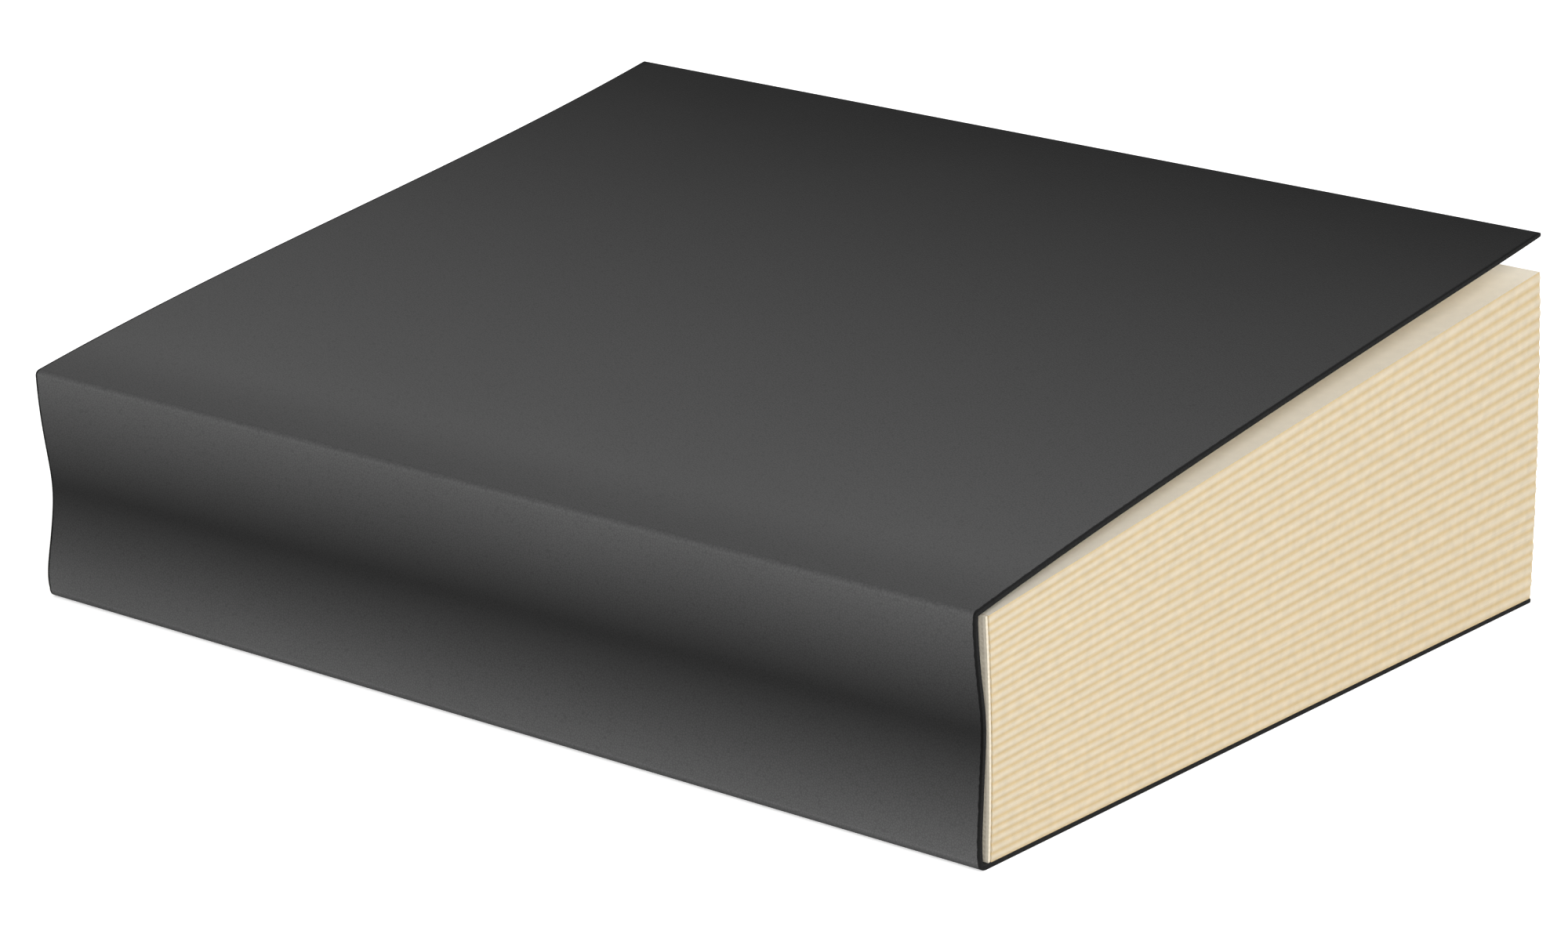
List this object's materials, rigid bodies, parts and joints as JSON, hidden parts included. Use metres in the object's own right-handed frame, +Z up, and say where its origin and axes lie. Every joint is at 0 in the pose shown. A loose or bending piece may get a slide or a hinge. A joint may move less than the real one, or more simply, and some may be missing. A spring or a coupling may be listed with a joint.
{
  "type": "book",
  "caption": "Thick limp-cover book lying on its back cover, leaves fanned toward the fore-edge, front cover lifted a little; both covers hinge at the spine's folds.",
  "frame": {"origin": "On the table, under the middle of the book's bounding box", "axes": "+X along the spine from head to tail, -Y out of the spine, +Y toward the fore-edge, +Z up from the back cover to the front cover"},
  "size_m": [0.235, 0.198, 0.0805],
  "materials": {
    "leaves": "uncoated",
    "lining": "uncoated",
    "glue": "satin",
    "cover": "fine grain, matte"
  },
  "bodies": {
    "back_panel": {"back_cover": "cover"},
    "block": {"page_block": "leaves", "spine_lining": "lining", "spine_adhesive": "glue", "spine_cover": "cover"},
    "front_panel": {"front_cover": "cover"}
  },
  "joints": [
    {"name": "back_cover_hinge", "type": "hinge", "parent": "back_panel", "child": "block", "pos_m": [0, -0.09555, 0.0005], "axis": [1, 0, 0], "range_deg": [0, 175]},
    {"name": "front_cover_hinge", "type": "hinge", "parent": "block", "child": "front_panel", "pos_m": [0, -0.09835, 0.0487], "axis": [1, 0, 0], "range_deg": [-1.5, 170]}
  ]
}
